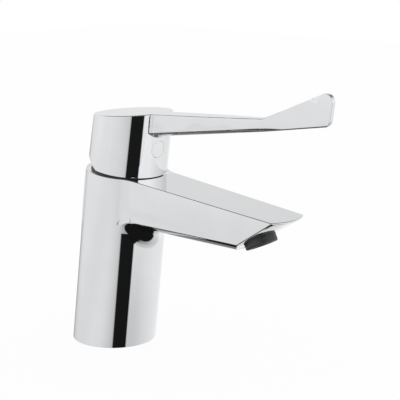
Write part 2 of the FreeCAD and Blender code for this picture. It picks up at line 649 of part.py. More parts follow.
# Nut that holds the cartridge down, and the collar that hides it
NUT_FLOOR = "(bore_gap * -2)"
nut_thread = cylinder("nut_thread", "thread_radius - thread_gap", "shoulder_depth - bore_gap * 2", z=ROOF_TOP)
nut_hexagon = doc.addObject("Part::Prism", "nut_hexagon")
bind(nut_hexagon, Circumradius="collar_radius - collar_wall - bore_gap",
     Height="nut_hex_height + bore_gap * 2", Placement__Base__z=NUT_FLOOR)
nut_bore_hole = cylinder("nut_bore_hole", THROAT_OUT + " + bore_gap * 2", "shoulder_depth * 3",
                         z=ROOF_TOP + " - 1")
node(on_cartridge(cut("nut", joined("nut_blank", nut_thread, nut_hexagon), nut_bore_hole)), "retaining_nut")
COLLAR_IN = "(collar_radius - collar_wall)"
COLLAR_TOP = "(collar_height + collar_dome)"
COLLAR_FALL = "(collar_wall * collar_dome / (collar_radius - collar_opening))"
collar = turned("collar", [
    (COLLAR_IN, "0"), ("collar_radius", "0"), ("collar_radius", "collar_height"),
    ("collar_opening", COLLAR_TOP), ("collar_opening", COLLAR_TOP + " - collar_wall"),
    (COLLAR_IN, "collar_height + %s - collar_wall" % COLLAR_FALL)])
node(on_cartridge(collar), "trim_collar")

# Outside of the lever: a leaning hub, a tapering bar and an upright paddle
HUB_TAPER = "((hub_radius - hub_top_radius) / hub_height)"


def hub_cone(name, height):
    cone = doc.addObject("Part::Cone", name)
    bind(cone, Radius1="hub_radius", Radius2="hub_radius - %s * %s" % (HUB_TAPER, height), Height=height)
    return on_hub(cone)


HUB_TOP_X = "(%s + hub_height * sin(lever_lean))" % PIVOT_X
HUB_TOP_Z = "(%s + hub_height * cos(lever_lean))" % PIVOT_Z
BAR_START = "(%s + hub_top_radius / 2)" % HUB_TOP_X
BAR_END = "(lever_reach + paddle_thickness)"


def hub_roof_at(x):
    """Height of the hub's sloping top face."""
    return "(%s + (%s - %s) * tan(hub_top_slope))" % (HUB_TOP_Z, x, HUB_TOP_X)


ROOT_TOP = hub_roof_at("bar_root")
BEND_TOP = "(%s + (bar_bend - bar_root) * tan(bar_slope))" % ROOT_TOP
PADDLE_TOP = "(%s + (lever_reach - bar_bend) * tan(paddle_slope))" % BEND_TOP
SECTION_TOP = "(%s + paddle_corner)" % PADDLE_TOP


def bar_section(name, x, width, under, belly):
    """A section of the bar: flat sides and a rounded underside; its top is trimmed by the side outline."""
    half = "((%s) / 2)" % width
    radius = "((%s ^ 2 + (%s) ^ 2) / (2 * (%s)))" % (half, belly, belly)
    edge = "%s + %s" % (under, belly)
    return section_sketch(name, x, [("-" + half, SECTION_TOP), ("-" + half, edge), (half, edge, "-" + radius),
                                    (half, SECTION_TOP)])


def tapering(x, root, bend):
    """A value that runs evenly from the bar's root to the paddle's bend."""
    return "(%s + (%s - %s) * (%s - bar_root) / (bar_bend - bar_root))" % (root, bend, root, x)


def along_bar(name, x, width):
    depth = tapering(x, "bar_depth_root", "bar_depth_bend")
    belly = tapering(x, "bar_belly_root", "bar_belly_bend")
    top = "(%s + (%s - bar_root) * tan(bar_slope))" % (ROOT_TOP, x)
    return bar_section(name, x, width, "(%s - %s - %s)" % (top, depth, belly), belly)


def along_paddle(name, x):
    under = ("(%s - bar_depth_bend - bar_belly_bend + (%s - bar_bend) * tan(paddle_under_slope))"
             % (BEND_TOP, x))
    return bar_section(name, x, "paddle_thickness", under, "paddle_thickness / 3")


bar = loft("bar", along_bar("bar_inner_section", BAR_START, "bar_root_width"),
           along_bar("bar_root_section", "bar_root", "bar_root_width"),
           along_bar("bar_middle_section", "bar_middle", "bar_middle_width"),
           along_bar("bar_taper_section", "bar_taper", "bar_taper_width"),
           along_bar("bar_bend_section", "bar_bend", "bar_bend_width"),
           along_paddle("paddle_first_section", "paddle_start"), along_paddle("paddle_last_section", BAR_END))
lever_blank = joined("lever_blank", hub_cone("hub_blank", "(hub_height * 2)"), bar)


def joint_of_hub(edge):
    """True for the edges where the bar leaves the hub."""
    kinds = [type(face.Surface).__name__ for face in lever_blank.Shape.ancestorsOfType(edge, Part.Face)]
    box = edge.BoundBox
    in_front = box.XMin > value("hub_radius")
    return kinds.count("Cone") == 1 and in_front and box.Center.z < value(SECTION_TOP) - 1


rounded_lever = fillet("rounded_lever", lever_blank, "bar_fillet", joint_of_hub)


def rounded(x, z, arriving, leaving, radius, turn=""):
    """Where the rounding of a corner starts and ends; arriving and leaving are directions in degrees."""
    run = "(%s * tan(abs(%s - (%s)) / 2))" % (radius, leaving, arriving)
    return [("%s - %s * cos(%s)" % (x, run, arriving), "%s - %s * sin(%s)" % (z, run, arriving)),
            ("%s + %s * cos(%s)" % (x, run, leaving), "%s + %s * sin(%s)" % (z, run, leaving), turn + radius)]


# The paddle's end face runs down from its upper corner to just under its rounded underside
END_RISE = "(90 - paddle_lean)"
END_LENGTH = ("((bar_depth_bend + bar_belly_bend + paddle_thickness / 10 + (lever_reach - bar_bend)"
              " * (tan(paddle_slope) - tan(paddle_under_slope)))"
              " / (sin(%s) - cos(%s) * tan(paddle_under_slope)))" % (END_RISE, END_RISE))
HEEL_X = "(lever_reach - %s * cos(%s))" % (END_LENGTH, END_RISE)
HEEL_Z = "(%s - %s * sin(%s))" % (PADDLE_TOP, END_LENGTH, END_RISE)
lever_outline = side_prism("lever_side", "hub_radius * 4", [
    ("-hub_radius", "column_height - hub_roof"), ("bar_root", "column_height - hub_roof"),
    *rounded(HEEL_X, HEEL_Z, "paddle_under_slope", END_RISE, "paddle_heel", "-"),
    *rounded("lever_reach", PADDLE_TOP, END_RISE, "(180 + paddle_slope)", "paddle_corner", "-"),
    *rounded("bar_bend", BEND_TOP, "(180 + paddle_slope)", "(180 + bar_slope)", "bend_radius"),
    ("bar_root", ROOT_TOP), ("-hub_radius", hub_roof_at("(-hub_radius)"))])
lever_trimmed = shared("lever_trimmed", rounded_lever, lever_outline)


def hub_rim(edge):
    """True for the long edge round the hub's top; the edges along the bar run on from it."""
    roof = all(abs(v.Z - value(hub_roof_at(str(v.X)))) < TOUCH for v in edge.Vertexes)
    return roof and edge.Length > value("hub_radius * 2")


lever_outside = fillet("lever_outside", lever_trimmed, "edge_round", hub_rim)

# Inside of the hub: a hollow under a sloping roof, with bosses for the stem's socket and the set screw
HOLLOW = "(hub_radius - hub_wall)"
hollow_tube = on_hub(cylinder("hollow_tube", HOLLOW, "hub_height * 1.5"))
AHEAD = "hub_radius * 2"
DOWN = "hub_height * 2"
under_roof = block("under_roof", AHEAD + " * 2", AHEAD + " * 2", DOWN)
put(under_roof, y="-" + AHEAD, turn="-hub_top_slope",
    x="%s - %s * cos(hub_top_slope) + %s * sin(hub_top_slope)" % (HUB_TOP_X, AHEAD, DOWN),
    z="%s - hub_roof - %s * sin(hub_top_slope) - %s * cos(hub_top_slope)" % (HUB_TOP_Z, AHEAD, DOWN))
socket_boss = cylinder("socket_boss", "socket_boss_radius", "hub_height", z="socket_boss_drop")
screw_boss = cross_cylinder("screw_boss", "screw_boss_radius", "hub_radius", "x", z="screw_height")
bosses = on_hub(joined("bosses", socket_boss, screw_boss))
hollow = cut("hollow", shared("hollow_blank", hollow_tube, under_roof), bosses)
SLEEVE = "(stem_square + (fit_gap + insert_wall) * 2)"
SLEEVE_FLOOR = "(socket_boss_drop + fit_gap * 6)"
PLUG_FACE = "(hub_radius - %s * screw_height)" % HUB_TAPER
SOCKET = "(%s + fit_gap * 2)" % SLEEVE
socket = block("socket", SOCKET, SOCKET, "insert_length + fit_gap * 8 + 1", x="-%s / 2" % SOCKET,
               z="socket_boss_drop - 1")
screw_bore = cross_cylinder("screw_bore", "screw_radius + fit_gap", "hub_radius", "x", z="screw_height")
plug_recess = cross_cylinder("plug_recess", "plug_radius + plug_gap", "plug_length * 2", "x",
                             x=PLUG_FACE + " - plug_length", z="screw_height")
lever_bores = on_hub(joined("lever_bores", socket, screw_bore, plug_recess))
TILT = "(lever_lean - top_slope)"
FRONT_EDGE = "((hub_front_gap - pivot_height + hub_radius * sin(%s)) / cos(%s))" % (TILT, TILT)
RELIEF_EDGE = "(%s - (hub_radius + relief_start) * tan(hub_edge_slope))" % FRONT_EDGE
BESIDE = "(hub_radius * 1.2)"
under_hub = on_hub(side_prism("under_hub", "hub_radius * 4", [
    ("-" + BESIDE, "-hub_height"), (BESIDE, "-hub_height"),
    (BESIDE, "%s + (%s - hub_radius) * tan(hub_edge_slope)" % (FRONT_EDGE, BESIDE)),
    ("-relief_start", RELIEF_EDGE),
    ("-" + BESIDE, "%s + (%s - relief_start) * tan(relief_slope)" % (RELIEF_EDGE, BESIDE))]))
node(cut("lever", lever_outside, hollow, lever_bores, under_hub), "lever_handle")

# Lever stem, its insert, the set screw and the index plug
stem_bar = block("stem_bar", "stem_square", "stem_square", "stem_top + knuckle_height", x="-stem_square / 2",
                 z="-knuckle_height")
shank = cylinder("shank", "shank_radius", "ball_drop", z="-ball_drop")
ball = doc.addObject("Part::Sphere", "ball")
bind(ball, Radius="ball_radius", Placement__Base__z="-ball_drop")
stem_hole = cross_cylinder("stem_hole", "pin_radius + pin_gap", "stem_square * 2", "y", y="-stem_square")
node(on_hub(cut("stem", joined("stem_blank", stem_bar, shank, ball), stem_hole)), "lever_stem")
sleeve = block("sleeve", SLEEVE, SLEEVE, "insert_length", x="-%s / 2" % SLEEVE, z=SLEEVE_FLOOR)
SLEEVE_BORE = "(stem_square + fit_gap * 2)"
sleeve_hole = block("sleeve_hole", SLEEVE_BORE, SLEEVE_BORE, "insert_length + 2", x="-%s / 2" % SLEEVE_BORE,
                    z=SLEEVE_FLOOR + " - 1")
sleeve_window = cross_cylinder("sleeve_window", "screw_radius + fit_gap", SLEEVE, "x", z="screw_height")
node(on_hub(cut("insert", sleeve, sleeve_hole, sleeve_window)), "stem_insert")
screw_rod = cross_cylinder("screw_rod", "screw_radius", "screw_length", "x", x="stem_square / 2",
                           z="screw_height")
screw_socket = doc.addObject("Part::Prism", "screw_socket")
screw_socket.Placement = FreeCAD.Placement(ZERO, FreeCAD.Rotation(Y_AXIS, 90))
bind(screw_socket, Circumradius="screw_key / 2 / cos(30)", Height="screw_length",
     Placement__Base__x="stem_square / 2 + screw_length / 2", Placement__Base__z="screw_height")
node(on_hub(cut("screw", screw_rod, screw_socket)), "set_screw")
plug_rod = cross_cylinder("plug_rod", "plug_radius", "plug_length * 2", "x", x=PLUG_FACE + " - plug_length",
                          z="screw_height")
plug_cone = doc.addObject("Part::Cone", "plug_cone")
bind(plug_cone, Radius1="hub_radius", Radius2="hub_top_radius", Height="hub_height")
node(on_hub(shared("plug", plug_rod, plug_cone)), "index_plug")

# Aerator: shell, screen, jet core, flow regulator and washer
SHELL_IN = "(aerator_bore - bore_gap)"
shell = turned("shell", [
    ("aerator_bore - aerator_lip", "0"), ("aerator_radius - aerator_lip", "0"),
    ("aerator_radius", "aerator_lip", "-aerator_lip"), ("aerator_radius", "aerator_collar"),
    ("aerator_thread", "aerator_collar"), ("aerator_thread", "aerator_length"),
    ("aerator_bore", "aerator_length"), ("aerator_bore", "aerator_lip"),
    ("aerator_bore - aerator_lip", "aerator_lip")])
node(on_aerator(shell), "aerator_shell")
SCREEN_TOP = "(aerator_lip + screen_thickness)"
CORE_TOP = "(%s + core_length)" % SCREEN_TOP


def hole_rings(name, rings, pitch, radius, bottom, length):
    """Rings of round holes; ring number n has six holes times n."""
    holes = []
    for number in rings:
        for k in range(max(6 * number, 1)):
            turn = 60.0 * k / max(number, 1)
            holes.append(cylinder("%s_%d_%d" % (name, number, k), radius, length, z=bottom,
                                  x="%d * %s * cos(%s)" % (number, pitch, turn),
                                  y="%d * %s * sin(%s)" % (number, pitch, turn)))
    return holes


def pierced(label, length, bottom, holes):
    """A disc of the aerator with its holes, as a node."""
    disc = cylinder(label + "_disc", SHELL_IN, length, z=bottom)
    return node(on_aerator(cut(label + "_pierced", disc, *holes)), label)


CORE_PITCH = "(%s / 3)" % SHELL_IN
REGULATOR_PITCH = "(%s / 1.7)" % SHELL_IN
pierced("aerator_screen", "screen_thickness", "aerator_lip",
        hole_rings("screen_hole_at", (0, 1, 2, 3), "screen_pitch", "screen_hole", "aerator_lip - 1",
                   "screen_thickness + 2"))
pierced("aerator_core", "core_length", SCREEN_TOP,
        hole_rings("core_hole", (2,), CORE_PITCH, "core_hole", SCREEN_TOP + " - 1", "core_length + 2"))
pierced("flow_regulator", "regulator_length", CORE_TOP,
        hole_rings("regulator_hole", (1,), REGULATOR_PITCH, "regulator_hole", CORE_TOP + " - 1",
                   "regulator_length + 2"))
node(on_aerator(ring("washer", "aerator_bore - aerator_lip", "aerator_thread", "aerator_length", BORE_END)),
     "aerator_washer")

doc.recompute()
for thing in doc.Objects:
    if "Invalid" in thing.State or "Error" in thing.State:
        raise RuntimeError("not computed: " + thing.Name)
os.makedirs("parts", exist_ok=True)
for thing in NODES:
    if thing.Shape.isNull() or not thing.Shape.isValid():
        raise RuntimeError("bad shape: " + thing.Label)
    thing.Shape.exportStep("parts/%s.step" % thing.Label)
    print(thing.Label, len(thing.Shape.Solids), round(thing.Shape.Volume), thing.Shape.BoundBox)
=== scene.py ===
import math

import bmesh
import bpy
import numpy as np
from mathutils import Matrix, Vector


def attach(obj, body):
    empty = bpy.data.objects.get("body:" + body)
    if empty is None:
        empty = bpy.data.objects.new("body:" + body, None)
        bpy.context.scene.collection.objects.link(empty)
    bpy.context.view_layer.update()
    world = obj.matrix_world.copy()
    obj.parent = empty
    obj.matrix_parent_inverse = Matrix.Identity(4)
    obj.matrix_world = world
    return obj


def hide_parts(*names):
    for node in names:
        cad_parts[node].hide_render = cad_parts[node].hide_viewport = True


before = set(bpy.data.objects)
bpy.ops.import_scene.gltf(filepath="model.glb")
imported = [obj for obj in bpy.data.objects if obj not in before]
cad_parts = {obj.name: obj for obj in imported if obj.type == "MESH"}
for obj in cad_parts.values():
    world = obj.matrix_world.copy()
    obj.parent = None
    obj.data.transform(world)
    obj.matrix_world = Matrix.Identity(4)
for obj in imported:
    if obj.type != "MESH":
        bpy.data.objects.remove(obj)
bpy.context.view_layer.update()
scene = bpy.context.scene
print("frame loaded:", len(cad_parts), "nodes")

# Camera, placed as the photograph was taken
camera = {
    "azimuth": 42.654,        # degrees round the tap from the spout's side
    "elevation": 12.714,      # degrees above the deck
    "distance": 0.649336,     # metres from the point it looks at
    "target": (0.065474, 0.0, 0.087682),
    "lens": 113.63,           # millimetres, on a 36 mm sensor
}


def makeCamera(look):
    turn, rise = math.radians(look["azimuth"]), math.radians(look["elevation"])
    back = Vector((math.sin(turn) * math.cos(rise), -math.cos(turn) * math.cos(rise), math.sin(rise)))
    data = bpy.data.cameras.new("camera")
    data.lens = look["lens"]
    data.sensor_width = 36
    data.clip_start, data.clip_end = 0.01, 20
    thing = bpy.data.objects.new("camera", data)
    thing.location = Vector(look["target"]) + back * look["distance"]
    thing.rotation_mode = "QUATERNION"
    thing.rotation_quaternion = (-back).to_track_quat("-Z", "Y")
    scene.collection.objects.link(thing)
    scene.camera = thing


makeCamera(camera)
scene.view_settings.view_transform = "Standard"
print("camera set")


# Small helpers for node trees
def newMaterial(name):
    material = bpy.data.materials.new(name)
    material.use_nodes = True
    tree = material.node_tree
    return material, tree, tree.nodes["Principled BSDF"]


def addNode(tree, kind, inputs=None, **settings):
    node = tree.nodes.new(kind)
    for key, setting in settings.items():
        setattr(node, key, setting)
    for key, setting in (inputs or {}).items():
        if isinstance(setting, bpy.types.NodeSocket):
            tree.links.new(setting, node.inputs[key])
        else:
            node.inputs[key].default_value = setting
    return node


def addMath(tree, operation, first, second=0.0, third=0.0):
    return addNode(tree, "ShaderNodeMath", {0: first, 1: second, 2: third}, operation=operation).outputs[0]


def addRamp(tree, factor, stops):    # stops are pairs of place and brightness or colour
    ramp = addNode(tree, "ShaderNodeValToRGB", {"Fac": factor})
    elements = ramp.color_ramp.elements
    while len(elements) < len(stops):
        elements.new(0.5)
    for element, (place, level) in zip(elements, stops):
        element.position = place
        element.color = (level, level, level, 1) if isinstance(level, float) else (*level, 1)
    return ramp.outputs["Color"]


# Studio: what the chrome reflects, by direction, and the plain light that falls on the rest
studio = {
    "white": 1.0,                 # what the camera sees behind the tap
    "fill": 0.9,                  # plain light from all sides
    # Layers from below upwards: the sines of the elevations between which each takes over, and its brightness
    # round the tap, in degrees from the left of a user who faces it to the right
    "layers": [
        (-1.0, -1.0, [(-180, 0.012), (180, 0.012)]),
        (-0.84, -0.79, [(-180, 1.0), (-146, 1.1), (-142, 0.012), (77, 0.012), (90, 0.5), (180, 1.0)]),
        (-0.70, -0.64, [(-180, 1.0), (-160, 1.2), (-141, 1.2), (-137, 0.35), (-116, 0.30), (-60, 0.35), (-15, 0.45),
                        (10, 0.80), (25, 0.79), (34, 0.70), (37.5, 0.62), (39, 0.012), (76.3, 0.012), (78, 0.86),
                        (100, 0.88), (115, 0.93), (128, 0.97), (180, 1.0)]),
        (-0.50, -0.42, [(-180, 0.98), (-155, 1.0), (-142, 1.0), (-138, 0.35), (-116, 0.45), (-100, 0.75), (-76, 0.88),
                        (-20, 0.90), (0, 0.90), (10, 0.88), (25, 0.81), (34, 0.73), (37.5, 0.61), (39, 0.012),
                        (76.3, 0.012), (78, 1.02), (100, 1.0), (115, 0.99), (180, 0.98)]),
        (-0.30, -0.22, [(-180, 0.98), (-155, 1.0), (-142, 1.0), (-138, 0.35), (-116, 0.45), (-102, 0.80), (-90, 0.94),
                        (-76, 0.97), (-20, 0.96), (0, 0.94), (10, 0.91), (25, 0.82), (34, 0.74), (37.5, 0.62),
                        (39, 0.012), (76.3, 0.012), (78, 1.08), (100, 1.04), (115, 1.01), (180, 0.98)]),
        (-0.15, -0.10, [(-180, 0.84), (-100, 0.90), (-60, 1.02), (-20, 1.02), (0, 0.97), (25, 0.85), (37.5, 0.7),
                        (39, 0.012), (76.3, 0.012), (78, 1.27), (110, 1.27), (135, 1.1), (180, 0.84)]),
        (0.48, 0.52, [(-180, 0.84), (0, 0.9), (78, 1.2), (110, 1.2), (180, 0.84)]),
    ],
    # share of it by height, against the sine of the elevation
    "heightShares": [(-1.0, 0.75), (-0.56, 0.70), (-0.515, 0.78), (-0.454, 0.90), (-0.407, 0.96), (-0.36, 0.98),
                     (-0.26, 0.93), (-0.18, 0.94), (-0.08, 0.97), (0.22, 0.98), (0.32, 0.94), (0.5, 0.86), (0.62, 0.2),
                     (1.0, 0.2)],
}


def makeWorld(look):
    world = bpy.data.worlds.new("studio")
    scene.world = world
    world.use_nodes = True
    tree = world.node_tree
    tree.nodes.clear()
    path = addNode(tree, "ShaderNodeLightPath")
    direction = addNode(tree, "ShaderNodeSeparateXYZ", {0: addNode(tree, "ShaderNodeTexCoord").outputs["Generated"]})
    x, y, z = direction.outputs
    turn = addMath(tree, "ARCTAN2", x, addMath(tree, "MULTIPLY", y, -1.0))
    place = addMath(tree, "MULTIPLY_ADD", turn, 1 / math.tau, 0.5)
    strongest = max(level for low, high, levels in look["layers"] for angle, level in levels)
    walls = None
    for low, high, levels in look["layers"]:
        layer = addRamp(tree, place, [((angle + 180) / 360, level / strongest) for angle, level in levels])
        if walls:
            above = addNode(tree, "ShaderNodeMapRange", {"Value": z, "From Min": low, "From Max": high}).outputs[0]
            layer = addNode(tree, "ShaderNodeMix", {0: above, 6: walls, 7: layer}, data_type="RGBA").outputs[2]
        walls = layer
    height = addRamp(tree, addMath(tree, "MULTIPLY_ADD", z, 0.5, 0.5),
                     [((sine + 1) / 2, share) for sine, share in look["heightShares"]])
    room = addNode(tree, "ShaderNodeMix", {0: 1.0, 6: walls, 7: height}, data_type="RGBA",
                   blend_type="MULTIPLY").outputs[2]
    glossy = addNode(tree, "ShaderNodeBackground", {"Color": room, "Strength": strongest})
    fill = addNode(tree, "ShaderNodeBackground", {"Color": (1, 1, 1, 1), "Strength": look["fill"]})
    white = addNode(tree, "ShaderNodeBackground", {"Color": (1, 1, 1, 1), "Strength": look["white"]})
    lit = addNode(tree, "ShaderNodeMixShader", {0: path.outputs["Is Glossy Ray"], 1: fill.outputs[0],
                                                2: glossy.outputs[0]})
    seen = addNode(tree, "ShaderNodeMixShader", {0: path.outputs["Is Camera Ray"], 1: lit.outputs[0],
                                                 2: white.outputs[0]})
    addNode(tree, "ShaderNodeOutputWorld", {"Surface": seen.outputs[0]})


makeWorld(studio)

floorLook = {
    "size": 3.0, "colour": 0.9, "roughness": 0.9,
    "glow": 0.95,                 # the share that the camera sees as plain white
}


def makeFloor(look):
    bm = bmesh.new()
    bmesh.ops.create_grid(bm, x_segments=1, y_segments=1, size=look["size"] / 2)
    mesh = bpy.data.meshes.new("floor")
    bm.to_mesh(mesh)
    bm.free()
    thing = bpy.data.objects.new("floor", mesh)
    scene.collection.objects.link(thing)
    material, tree, shader = newMaterial("floorPaper")
    tone = look["colour"]
    shader.inputs["Base Color"].default_value = (tone, tone, tone, 1)
    shader.inputs["Roughness"].default_value = look["roughness"]
    glow = addNode(tree, "ShaderNodeEmission", {"Color": (1, 1, 1, 1), "Strength": 1.0})
    path = addNode(tree, "ShaderNodeLightPath")
    share = addMath(tree, "MULTIPLY", path.outputs["Is Camera Ray"], look["glow"])
    mixed = addNode(tree, "ShaderNodeMixShader", {0: share, 1: shader.outputs[0], 2: glow.outputs[0]})
    tree.links.new(mixed.outputs[0], tree.nodes["Material Output"].inputs["Surface"])
    mesh.materials.append(material)
    thing.visible_glossy = False


makeFloor(floorLook)
print("studio set")


# Finishes
# Polished plating: a faintly uneven tone, a fine haze and a very shallow ripple
def makeChrome(name, tone, roughness, grain, ripple):
    material, tree, shader = newMaterial(name)
    place = addNode(tree, "ShaderNodeTexCoord").outputs["Object"]
    cloud = addNode(tree, "ShaderNodeTexNoise", {"Vector": place, "Scale": 60.0, "Detail": 3.0}).outputs["Fac"]
    low, high = tone
    colour = addRamp(tree, cloud, [(0.3, low), (0.7, high)])
    fine = addNode(tree, "ShaderNodeTexNoise", {"Vector": place, "Scale": 900.0, "Detail": 4.0}).outputs["Fac"]
    haze = addNode(tree, "ShaderNodeMapRange", {"Value": fine, "To Min": roughness, "To Max": roughness + grain})
    wave = addNode(tree, "ShaderNodeTexNoise", {"Vector": place, "Scale": 25.0, "Detail": 1.0}).outputs["Fac"]
    bump = addNode(tree, "ShaderNodeBump", {"Strength": ripple, "Distance": 0.00001, "Height": wave})
    shader.inputs["Metallic"].default_value = 1.0
    tree.links.new(colour, shader.inputs["Base Color"])
    tree.links.new(haze.outputs["Result"], shader.inputs["Roughness"])
    tree.links.new(bump.outputs["Normal"], shader.inputs["Normal"])
    return material


chromeLook = {"tone": ((0.775, 0.785, 0.795), (0.80, 0.81, 0.82)), "roughness": 0.02, "grain": 0.02, "ripple": 0.05}
chrome = makeChrome("polishedChrome", **chromeLook)


def makePlastic(name, dark, light, roughness, scale, depth):
    material, tree, shader = newMaterial(name)
    place = addNode(tree, "ShaderNodeTexCoord").outputs["Object"]
    cloud = addNode(tree, "ShaderNodeTexNoise", {"Vector": place, "Scale": scale, "Detail": 4.0}).outputs["Fac"]
    tree.links.new(addRamp(tree, cloud, [(0.3, dark), (0.7, light)]), shader.inputs["Base Color"])
    haze = addNode(tree, "ShaderNodeMapRange", {"Value": cloud, "To Min": roughness, "To Max": roughness + 0.12})
    tree.links.new(haze.outputs["Result"], shader.inputs["Roughness"])
    bump = addNode(tree, "ShaderNodeBump", {"Strength": 0.4, "Distance": depth, "Height": cloud})
    tree.links.new(bump.outputs["Normal"], shader.inputs["Normal"])
    return material


rubber = makePlastic("blackRubber", (0.012, 0.012, 0.012), (0.03, 0.03, 0.03), 0.55, 2500.0, 0.00004)
whitePlastic = makePlastic("whitePlastic", (0.70, 0.70, 0.67), (0.80, 0.80, 0.77), 0.35, 1800.0, 0.00002)
greyPlastic = makePlastic("greyPlastic", (0.075, 0.08, 0.085), (0.11, 0.115, 0.12), 0.35, 1800.0, 0.00002)
screenPlastic = makePlastic("screenPlastic", (0.20, 0.205, 0.21), (0.27, 0.275, 0.28), 0.3, 1800.0, 0.00002)
redPlastic = makePlastic("redPlastic", (0.38, 0.012, 0.01), (0.5, 0.02, 0.016), 0.25, 1800.0, 0.00002)
blackPlastic = makePlastic("blackPlastic", (0.015, 0.015, 0.016), (0.03, 0.03, 0.032), 0.4, 1800.0, 0.00002)
aeratorPlastic = makePlastic("aeratorPlastic", (0.022, 0.022, 0.023), (0.04, 0.04, 0.042), 0.36, 1500.0, 0.00002)
ceramic = makePlastic("ceramic", (0.82, 0.82, 0.79), (0.88, 0.88, 0.86), 0.15, 3000.0, 0.00001)


# Turned or cut metal, with fine lines along it
def makeMetal(name, dark, light, roughness, scale, stretch):
    material, tree, shader = newMaterial(name)
    place = addNode(tree, "ShaderNodeTexCoord").outputs["Object"]
    lines = addNode(tree, "ShaderNodeMapping", {"Vector": place, "Scale": stretch}).outputs["Vector"]
    streak = addNode(tree, "ShaderNodeTexNoise", {"Vector": lines, "Scale": scale, "Detail": 5.0}).outputs["Fac"]
    tree.links.new(addRamp(tree, streak, [(0.3, dark), (0.7, light)]), shader.inputs["Base Color"])
    haze = addNode(tree, "ShaderNodeMapRange", {"Value": streak, "To Min": roughness, "To Max": roughness + 0.2})
    tree.links.new(haze.outputs["Result"], shader.inputs["Roughness"])
    bump = addNode(tree, "ShaderNodeBump", {"Strength": 0.3, "Distance": 0.00002, "Height": streak})
    tree.links.new(bump.outputs["Normal"], shader.inputs["Normal"])
    shader.inputs["Metallic"].default_value = 1.0
    return material


brass = makeMetal("machinedBrass", (0.55, 0.38, 0.16), (0.72, 0.53, 0.26), 0.22, 300.0, (1, 1, 12))
steel = makeMetal("turnedSteel", (0.42, 0.42, 0.42), (0.6, 0.6, 0.6), 0.2, 300.0, (1, 1, 12))

finishes = {
    "foot_gasket": rubber, "port_seals": rubber, "disc_seals": rubber, "guide_o_ring": rubber,
    "aerator_washer": rubber, "cartridge_base": whitePlastic, "cartridge_housing": whitePlastic,
    "stem_guide": greyPlastic, "disc_carrier": greyPlastic, "limit_ring": redPlastic, "stem_insert": blackPlastic,
    "aerator_screen": screenPlastic, "aerator_core": whitePlastic, "flow_regulator": whitePlastic,
    "fixed_disc": ceramic, "moving_disc": ceramic, "retaining_nut": brass, "lever_stem": brass,
    "set_screw": steel, "pivot_pin": steel,
    # trim_collar gets the dark grey plastic: painted shade for the dark gap under the hub, where the collar shows
    "tap_body": chrome, "trim_collar": greyPlastic, "lever_handle": chrome, "index_plug": chrome,
    "aerator_shell": aeratorPlastic,
}
for nodeName, finish in finishes.items():
    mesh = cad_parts[nodeName].data
    mesh.materials.clear()
    mesh.materials.append(finish)
print("finishes given to", len(finishes), "nodes")


# Plated castings: the node's own surface, merged, made finer and laid on the true cones, flats and blends
castingShape = {                  # metres and degrees, as the casting is drawn
    "foot": (0, 0, 0), "lean": 7.4, "footRadius": 0.023, "narrowing": 0.0051,
    "topHeight": 0.098, "topSlope": 5.1, "tip": (0.1233, 0, 0.0867), "undercut": 33.9,
    "spoutRoot": 0.0123, "spoutReach": 0.1233, "rootHalf": 0.0167, "tipHalf": 0.0127,
    "flankBottom": 0.073, "bellyBottom": 0.0669, "blend": 0.013,
    # only here: the lower edge's rounding, and how the flanks turn in towards it
    "lowerEdge": 0.0007, "turnedIn": 6.0, "turnedInHeight": 0.009, "turnedInEnd": 0.006,
}
hubShape = {"pivot": (0.0123889, 0, 0.0978983), "lean": 9.3, "lowRadius": 0.0214, "narrowing": 0.01923}
castingMesh = {                   # metres: how long the edges may be, and how far a vertex may be moved
    "atEdge": 0.00025, "growth": 0.6, "atRoot": 0.0012, "elsewhere": 0.004, "reach": 0.0007,
    "margin": 0.0006, "aboveDeck": 0.0002,        # kept clear of the casting's other faces
}
hubMesh = {"length": 0.002}
roundings = {                     # a ball round the edges to round, and the radius they get
    "paddleEnd": ((0.150, 0, 0.1425), 0.0125), "paddleRadius": 0.0008,
    "plugFace": ((0.0387, 0, 0.110), 0.0062), "plugRadius": 0.0009,
    "segments": 4, "flat": 0.5, "sharp": 50.0,    # degrees between faces that are one flat, and at a sharp edge
}
shading = {                       # degrees and metres
    "crease": 32.0, "sameSurface": 55.0, "onSurface": 0.00003, "merge": 0.000002, "rollTurns": 10,
    "mostTurns": 40, "sag": 0.0007, "sagShare": 0.125,    # how far an edge's middle may lie from the surface
}


# Each surface takes an array of points and gives their heights above it and the directions straight out of it
def coneSurface(start, lean, radius, narrowing):
    origin, tilt = np.array(start), math.radians(lean)
    axis = np.array((math.sin(tilt), 0, math.cos(tilt)))
    slant = math.hypot(1, narrowing)

    def surface(points):
        offset = points - origin
        height = offset @ axis
        radial = offset - height[:, None] * axis
        reach = np.linalg.norm(radial, axis=1)
        return (reach - radius + narrowing * height) / slant, (radial / reach[:, None] + axis * narrowing) / slant

    return surface


def planeSurface(start, outward):
    origin, normal = np.array(start), np.array(outward)

    def surface(points):
        return (points - origin) @ normal, np.tile(normal, (len(points), 1))

    return surface


def flankSurface(shape, undercut):
    taper = (shape["rootHalf"] - shape["tipHalf"]) / (shape["spoutReach"] - shape["spoutRoot"])
    low = shape["turnedInHeight"]
    bow = math.tan(math.radians(shape["turnedIn"])) / (2 * low)

    def surface(points):
        share = bow * np.clip(-undercut(points)[0] / shape["turnedInEnd"], 0, 1)
        under = np.clip(shape["flankBottom"] + low - points[:, 2], 0, low)
        half = shape["rootHalf"] - taper * (points[:, 0] - shape["spoutRoot"]) - share * under ** 2
        outward = np.stack((np.full(len(points), taper), np.sign(points[:, 1]), -2 * share * under), axis=1)
        steep = np.linalg.norm(outward, axis=1)
        return (np.abs(points[:, 1]) - half) / steep, outward / steep[:, None]

    return surface


